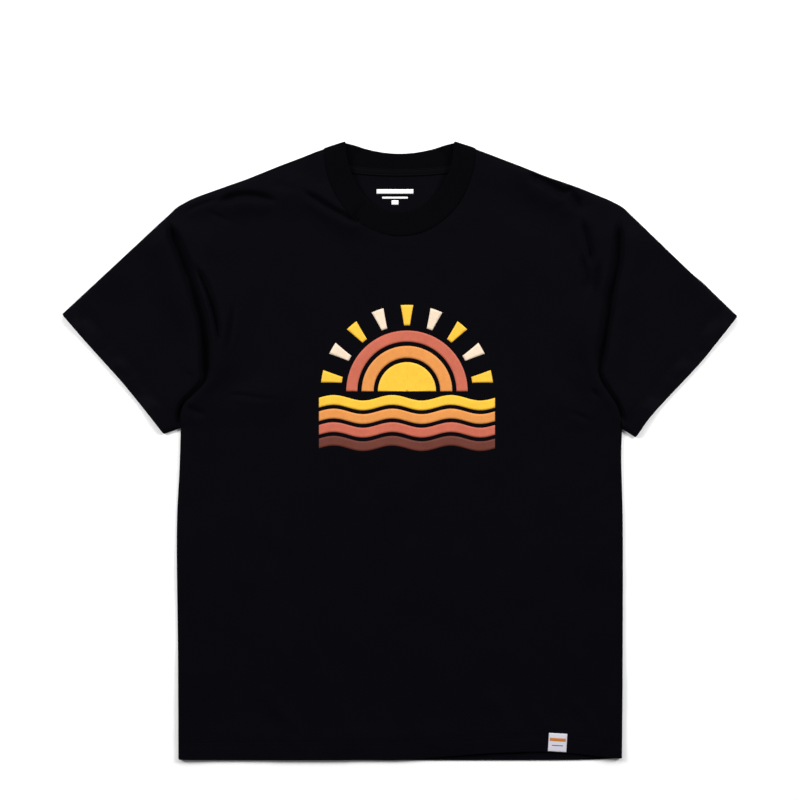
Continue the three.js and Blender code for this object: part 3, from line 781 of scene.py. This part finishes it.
collar = {
    "ribPitch": 1.9,            # one rib and one furrow; drawn a little coarser than the real 1.4 mm
    "ribDepth": 0.26,
    "stepsPerRib": 4,
    "halfThickness": 1.1,
    "cutWidth": 26,
    "standOff": 9.2,            # height of the front band's middle where it turns over at the neck points
    "frontLow": 2.6,            # and at the bottom of the neck
    "seamLow": 2.9,             # least height of its seam
    "bedding": 0.5,             # how far the seam rides over the front panel's edge
    "standReach": 0.42,         # share of the band's front half over which it comes down from the neck points
    "backHeight": 1.15,
    "ridge": (0.095, 0.085, 3.4),  # the back half arches up beside the turn: at what share, how wide, how high
    "bulge": 1.9,               # how far the turn's middle line bulges past the neck points
    "seamTurn": 0.3,            # the same at the seam, as a share of that
    "outward": (0.35, 0.94),    # the way it bulges in plan, square to the shoulder line
    "turnSteps": 9,
}
# the band's section, from its rounded free edge over the top to the seam: share across, share of the thickness
bandSection = [(0.0, 0.0), (0.012, 0.62), (0.045, 0.93), (0.12, 1.0), (0.25, 1.0), (0.4, 1.0), (0.55, 1.0),
               (0.7, 1.0), (0.83, 0.97), (0.93, 0.86), (0.985, 0.62), (1.0, 0.0)]
ribStep = collar["ribPitch"] / collar["stepsPerRib"]


def collarStations():
    # the band's front and back halves, station by station: both ends in plan, the heights of its middle at
    # the free edge and the seam, and the turn of its face from up (0) to down (pi)
    frontCount = int(round(trackLength((frontFree + frontSeam) / 2) / ribStep))
    backCount = int(round(trackLength((backFree + backSeam) / 2) / ribStep))
    f = np.linspace(0, 1, frontCount)
    free, seam = walk(frontFree, f), walk(frontSeam, f)
    stand = 1 - smooth((0.5 - np.abs(f - 0.5)) / collar["standReach"])
    # the seam rides on the front panel's edge, down to where that rolls over at the shoulders
    panelEdge = upperHeight(seam, edgeDistance(seam), 0, cloth["seamHeight"])
    front = dict(free=free, seam=seam, zFree=mix(collar["frontLow"], collar["standOff"], stand),
                 zSeam=np.maximum(panelEdge + collar["bedding"], collar["seamLow"]), turn=np.zeros(frontCount))
    b = np.linspace(1, 0, backCount)
    ridgeAt, ridgeWidth, ridgeHeight = collar["ridge"]
    ridge = ridgeHeight * smooth(1 - np.abs(0.5 - np.abs(b - 0.5) - ridgeAt) / ridgeWidth)
    back = dict(free=walk(backFree, b), seam=walk(backSeam, b), zFree=collar["backHeight"] + ridge,
                zSeam=collar["backHeight"] + 0.5 * ridge, turn=np.full(backCount, math.pi))
    return front, back


def collarRing():
    front, back = collarStations()
    across = np.array([w for w, _ in bandSection] + [w for w, _ in bandSection[-2:0:-1]])
    up = np.array([h for _, h in bandSection] + [-h for _, h in bandSection[-2:0:-1]])
    stations = []   # free end, seam end, both heights, turn of the face, and how far both ends bulge out

    def addHalf(half):
        for i in range(len(half["turn"])):
            stations.append((*(half[k][i] for k in ("free", "seam", "zFree", "zSeam", "turn")), 0.0, 0.0))

    def addTurn(a, i, b, j, rising):
        for step in range(1, collar["turnSteps"]):
            angle = math.pi * step / collar["turnSteps"]
            angle = math.pi - angle if rising else angle
            free = mix(a["free"][i], b["free"][j], angle / math.pi)
            heights = [(a[k][i] + b[k][j]) / 2 + (a[k][i] - b[k][j]) / 2 * math.cos(angle)
                       for k in ("zFree", "zSeam")]
            bulge = collar["bulge"] * math.sin(angle)
            stations.append((free, a["seam"][i], *heights, angle, bulge, collar["seamTurn"] * bulge))

    addHalf(front)
    addTurn(front, -1, back, 0, rising=False)
    addHalf(back)
    addTurn(front, 0, back, -1, rising=True)
    stations.append(stations[0])
    freeEnd, seamEnd, zFree, zSeam, turn, outFree, outSeam = (np.array(column) for column in zip(*stations))
    phase = 2 * math.pi * np.arange(len(stations)) / collar["stepsPerRib"]

    def place(row, column):
        w, rise = across[column % len(across)], up[column % len(across)]
        h = rise * collar["halfThickness"]
        spots = mix(freeEnd[row], seamEnd[row], w[:, None])
        z = mix(zFree[row], zSeam[row], w)
        ribbing = collar["ribDepth"] * np.cos(phase[row]) * np.abs(rise)
        h = h + np.sign(h) * (0.5 * ribbing - 0.5 * collar["ribDepth"])
        beyond = mix(outFree[row], outSeam[row], w) + h * np.sin(turn[row])
        x = spots[:, 0] + collar["outward"][0] * np.sign(spots[:, 0]) * beyond
        y = spots[:, 1] + collar["outward"][1] * beyond
        cut = np.stack([row * ribStep, w * collar["cutWidth"]], axis=1)
        return np.column_stack([x, y, z + h * np.cos(turn[row])]), cut

    ring = gridMesh("collar_rib", len(stations), len(across) + 1, place, wraps=True)
    reworkMesh(ring.data, lambda bm: bmesh.ops.recalc_face_normals(bm, faces=bm.faces))
    return ring


collarRib = finishPiece(collarRing(), blackRib, "rib", "neck_rib")
print("collar turned")

# The tape on the inside of the back neck seam. Profile: distance below the seam, height over the tape's own
tape = {
    "cut": 0.075,               # share of the seam that it leaves bare at each end
    "height": 1.75,
    "thickness": 0.6,
    "ripple": 0.1,
    "profile": [(-1.0, 0.75), (0.2, 0.62), (1.0, 0.34), (1.8, 0.40), (2.8, 0.36), (3.8, 0.38), (4.8, 0.36),
                (5.7, 0.12), (6.7, 0.22), (7.5, -0.05)],
    "stitches": (1.4, 6.2),
}


def tapeLine(share, away):
    # plan points on the tape, this far below the seam
    seam = walk(backSeam, share)
    along = np.gradient(walk(backSeam, np.linspace(0, 1, 400)), axis=0)
    along = np.stack([np.interp(share, np.linspace(0, 1, 400), along[:, k]) for k in (0, 1)], axis=1)
    down = np.stack([along[:, 1], -along[:, 0]], axis=1) / np.hypot(*along.T)[:, None]
    return seam + down * np.reshape(away, (-1, 1))


def tapePiece():
    share = np.linspace(tape["cut"], 1 - tape["cut"], 120)
    across, lift = (np.array(c) for c in zip(*tape["profile"]))

    def place(row, column):
        spots = tapeLine(share[row], across[column])
        ripple = tape["ripple"] * np.sin(row * 0.9) * np.sin(math.pi * column / (len(across) - 1))
        return np.column_stack([spots, tape["height"] + lift[column] + ripple]), spots

    return gridMesh("neck_tape_twill", len(share), len(across), place)


neckTape = tapePiece()
thicken(neckTape, tape["thickness"])
finishPiece(neckTape, blackTape, "neck_tape", "neck_tape")

stitch = {"length": 2.4, "pitch": 3.2, "halfWidth": 0.24, "halfHeight": 0.17}


def addStitches(bm, points, normals):
    # one small rounded stitch after another along a row of surface points
    row = np.array([tuple(p) for p in points])
    ups = np.array([tuple(n) for n in normals])
    along = np.concatenate([[0], np.cumsum(np.linalg.norm(np.diff(row, axis=0), axis=1))])
    pitch = stitch["pitch"] * mm
    size = Matrix.Diagonal((stitch["length"] / 2 * mm, stitch["halfWidth"] * mm, stitch["halfHeight"] * mm, 1))
    for middle in np.arange(pitch / 2, along[-1] - pitch / 2, pitch):
        place, up = (np.array([np.interp(middle, along, a[:, k]) for k in range(3)]) for a in (row, ups))
        ahead = np.array([np.interp(middle + 0.3 * pitch, along, row[:, k]) for k in range(3)])
        tangent = Vector(ahead - place).normalized()
        up = Vector(up).normalized()
        side = up.cross(tangent).normalized()
        turn = Matrix((tangent, side, up)).transposed().to_4x4()
        spot = Matrix.Translation(place) @ turn @ size
        bmesh.ops.create_icosphere(bm, subdivisions=1, radius=1, matrix=spot)


def stitchPiece(name, rows, material, slot):
    bm = bmesh.new()
    for points, normals in rows:
        addStitches(bm, points, normals)
    mesh = meshFrom(bm, name)
    shadeSmooth(mesh)
    return finishPiece(addToScene(name, mesh), material, slot)


frontSurface, backSurface, tapeSurface = surfaceOf(frontPanel), surfaceOf(backPanel), surfaceOf(neckTape)
share = np.linspace(tape["cut"] + 0.005, 0.995 - tape["cut"], 160)
rows = [dropOnto(tapeSurface, tapeLine(share, d)) for d in tape["stitches"]]
tapeStitches = stitchPiece("neck_tape_stitches", rows, paintedGlintThread, "neck_tape")
share = np.linspace(0.006, 0.994, 400)
rows = [dropOnto(frontSurface, frontPlan(share, np.full(400, d))) for d in hemStitches]
frontHemStitches = stitchPiece("front_hem_stitches", rows, blackThread, "jersey")
rows = [dropOnto(backSurface, backPlan(share, np.full(400, d)), above=False) for d in hemStitches]
backHemStitches = stitchPiece("back_hem_stitches", rows, blackThread, "jersey")
for name, sleeve in (("left", leftSleeve), ("right", rightSleeve)):
    surface = surfaceOf(sleeve)
    planAt, _, _ = sleevePlan(sides[name])
    rows = []
    for d in cuffStitches:
        line = planAt(np.linspace(0.13, 0.985, 160), np.full(160, d))[0]
        rows += [dropOnto(surface, line), dropOnto(surface, line, above=False)]
    stitchPiece(name + "_cuff_stitches", rows, blackThread, "jersey")
print("seams stitched")

# The chest print: a half sun with rays over waves
chestPrint = {
    "centre": (8.5, 86), "width": 206, "height": 171,
    "coreRadius": 34, "rings": [(39, 53), (58, 71)], "rays": (77, 101),
    "rayCount": 9, "raySpread": 0.42, "rayTaper": 0.6,
    "waveCount": 4, "waveGap": 4.5, "waveSwing": 3.2, "wavesAcross": 3,
    "clear": 0.10, "thickness": 0.14,
}
horizon = chestPrint["centre"][1] + chestPrint["height"] / 2 - chestPrint["rays"][1]
inkPieces = []


def inkPiece(name, rows, columns, planAt, ink, surface, slot, *nodes):
    # a field of ink that follows the cloth under it
    def place(row, column):
        spots = planAt(row / (rows - 1), column / (columns - 1))
        points, _ = dropOnto(surface, spots)
        z = np.array([p.z for p in points]) / mm + chestPrint["clear"]
        return np.column_stack([spots, z]), spots

    piece = gridMesh(name, rows, columns, place, wraps=True)
    thicken(piece, chestPrint["thickness"], offset=1.0)
    inkPieces.append(piece)
    finishPiece(piece, inks[ink], slot, *nodes)


def printPiece(shape, rows, columns, planAt, ink):
    inkPiece("ink_" + shape, rows, columns, planAt, ink, frontSurface, "ink_" + ink, "print_" + shape)


def polarField(inner, outer, start=0.0, end=math.pi, taper=1.0):
    middle = (start + end) / 2

    def planAt(across, along):
        radius = mix(inner, outer, across)
        angle = middle + (mix(end, start, along) - middle) * mix(taper, 1, across)
        return np.stack([chestPrint["centre"][0] + radius * np.cos(angle),
                         horizon + radius * np.sin(angle)], axis=1)

    return planAt


def waveField(top, height):
    def planAt(across, along):
        x = chestPrint["centre"][0] + chestPrint["width"] * (along - 0.5)
        swing = chestPrint["waveSwing"] * np.sin(2 * math.pi * chestPrint["wavesAcross"] * along)
        return np.stack([x, top - height * (1 - across) + swing], axis=1)

    return planAt


printPiece("sun_core", 14, 60, polarField(0.0, chestPrint["coreRadius"]), "yellow")
for index, (ink, radii) in enumerate(zip(("orange", "salmon"), chestPrint["rings"]), 1):
    printPiece(f"sun_ring_{index}", 7, 100, polarField(*radii), ink)
room = math.pi / chestPrint["rayCount"]
half = room * chestPrint["raySpread"] / 2
for index in range(chestPrint["rayCount"]):
    angle = room * (index + 0.5)
    field = polarField(*chestPrint["rays"], angle - half, angle + half, chestPrint["rayTaper"])
    printPiece(f"ray_{index + 1}", 11, 6, field, "cream" if index % 2 else "yellow")
seaTop = horizon - chestPrint["waveGap"] - chestPrint["waveSwing"]
seaBottom = chestPrint["centre"][1] - chestPrint["height"] / 2 + chestPrint["waveSwing"]
gaps = chestPrint["waveGap"] * (chestPrint["waveCount"] - 1)
waveHeight = (seaTop - seaBottom - gaps) / chestPrint["waveCount"]
for index, ink in enumerate(("yellow", "orange", "salmon", "brown")):
    field = waveField(seaTop - index * (waveHeight + chestPrint["waveGap"]), waveHeight)
    printPiece(f"wave_{index + 1}", 6, 96, field, ink)
print("chest print laid on")

# Plain bars printed on the inside of the back: x, y, width, height
neckBars = [(-5.5, 304.5, 43, 5.2), (-5.5, 297.2, 30, 2.2), (-5.5, 291.6, 8, 5.0)]
for index, (x, y, width, height) in enumerate(neckBars, 1):
    def barAt(across, along, x=x, y=y, width=width, height=height):
        return np.stack([x + width * (along - 0.5), y + height * (across - 0.5)], axis=1)
    inkPiece(f"neck_bar_{index}", 4, 16, barAt, "white", backSurface, "label")
neckMark = [inkPieces.pop() for _ in neckBars]

# The hem label. Its stripe and line: name, cells, share of its width and height, place on it, yarn
label = {
    "side": 21.4, "centre": (184.6, -340.2), "turn": -3.5, "thickness": 0.75, "cells": 26,
    "clear": 0.45,              # over the highest cloth under it
    "rim": 1.4,                 # width of its pressed edge
    "puff": 0.25,               # how far it stands up inside that, and again at its middle
    "yarnLift": 0.42, "yarnThickness": 0.12,
    "yarns": [("label_stripe", 10, (0.86, 0.17, 0, 0.16), labelOrange),
              ("label_line", 8, (0.6, 0.045, 0, -0.16), labelGrey)],
}


def labelPlan(across, along, width=1.0, height=1.0, x=0.0, y=0.0):
    # points of the label, or of a field on it, turned and placed
    turn = math.radians(label["turn"])
    a = label["side"] * (width * (along - 0.5) + x)
    b = label["side"] * (height * (across - 0.5) + y)
    return np.stack([label["centre"][0] + a * math.cos(turn) - b * math.sin(turn),
                     label["centre"][1] + a * math.sin(turn) + b * math.cos(turn)], axis=1)


underLabel, _ = dropOnto(frontSurface, labelPlan(np.linspace(0.3, 0.9, 12), np.linspace(0.1, 0.9, 12)))
labelHeight = max(p.z / mm for p in underLabel) + label["clear"]


def labelLift(across, along):
    rim = np.minimum(np.minimum(across, 1 - across), np.minimum(along, 1 - along)) * label["side"]
    dome = np.sin(math.pi * along) * np.sin(math.pi * across)
    return label["puff"] * smooth(rim / label["rim"]) + label["puff"] * dome


def labelPiece(name, cells, field, lift, thickness, material, *nodes):
    width, height, x, y = field

    def place(row, column):
        across, along = row / cells, column / cells
        spots = labelPlan(across, along, *field)
        whole = labelLift(0.5 + y + height * (across - 0.5), 0.5 + x + width * (along - 0.5))
        return np.column_stack([spots, labelHeight + whole + lift]), spots

    piece = gridMesh(name, cells + 1, cells + 1, place)
    thicken(piece, thickness)
    return finishPiece(piece, material, "label", *nodes)


hemLabel = labelPiece("hem_label_woven", label["cells"], (1, 1, 0, 0), 0.0, label["thickness"], labelWeave,
                      "hem_label")
labelStripes = [labelPiece(name, cells, field, label["yarnLift"], label["yarnThickness"], yarn)
                for name, cells, field, yarn in label["yarns"]]
print("label sewn on")

# Lights: where they hang, in metres, their size and their watts
stage = {
    "lights": {
        "softRight": ((-1.7, 0.85, 1.45), 0.9, 47),
        "softLeft": ((1.7, 0.85, 1.45), 0.9, 47),
        "softTop": ((0, 1.6, 1.3), 0.9, 14),
    },
    "sky": 0.14,
    "floorSize": 4.0,
    "floorDrop": 0.0004,        # keeps the floor clear of the cloth
}


def wholeFloor():
    bm = bmesh.new()
    bmesh.ops.create_grid(bm, x_segments=1, y_segments=1, size=stage["floorSize"])
    bmesh.ops.translate(bm, verts=bm.verts, vec=(0, 0, -stage["floorDrop"]))
    floor = addToScene("floor", meshFrom(bm, "floor"))
    material, tree = newMaterial("whitePaperSeamless")
    finishMaterial(tree, {"Base Color": (0.97, 0.97, 0.97, 1), "Roughness": 0.9, "Specular IOR Level": 0.1})
    floor.data.materials.append(material)


def areaLight(name, place, size, watts):
    lamp = bpy.data.lights.new(name, "AREA")
    lamp.shape, lamp.size, lamp.energy = "SQUARE", size, watts
    holder = addToScene(name, lamp)
    holder.location = place
    holder.rotation_euler = (-Vector(place)).to_track_quat("-Z", "Y").to_euler()


wholeFloor()
for name, light in stage["lights"].items():
    areaLight(name, *light)
world = bpy.data.worlds.new("studio")
bpy.context.scene.world = world
world.use_nodes = True
sky = world.node_tree.nodes["Background"].inputs
sky["Color"].default_value = (1, 1, 1, 1)
sky["Strength"].default_value = stage["sky"]

# The camera, straight above: its scale holds at this height over the floor
view = {"millimetresPerPixel": 1.17, "height": 3, "frame": 800, "lens": 85, "sensor": 36, "aim": (0.35, 60.3)}
camera = bpy.data.cameras.new("camera")
camera.lens, camera.sensor_width = view["lens"], view["sensor"]
eye = addToScene("camera", camera)
reach = view["millimetresPerPixel"] * view["frame"] * view["lens"] / view["sensor"]
eye.location = (view["aim"][0] * mm, view["aim"][1] * mm, (reach + view["height"]) * mm)
bpy.context.scene.camera = eye
bpy.context.scene.view_settings.view_transform = "Standard"
print("stage set")
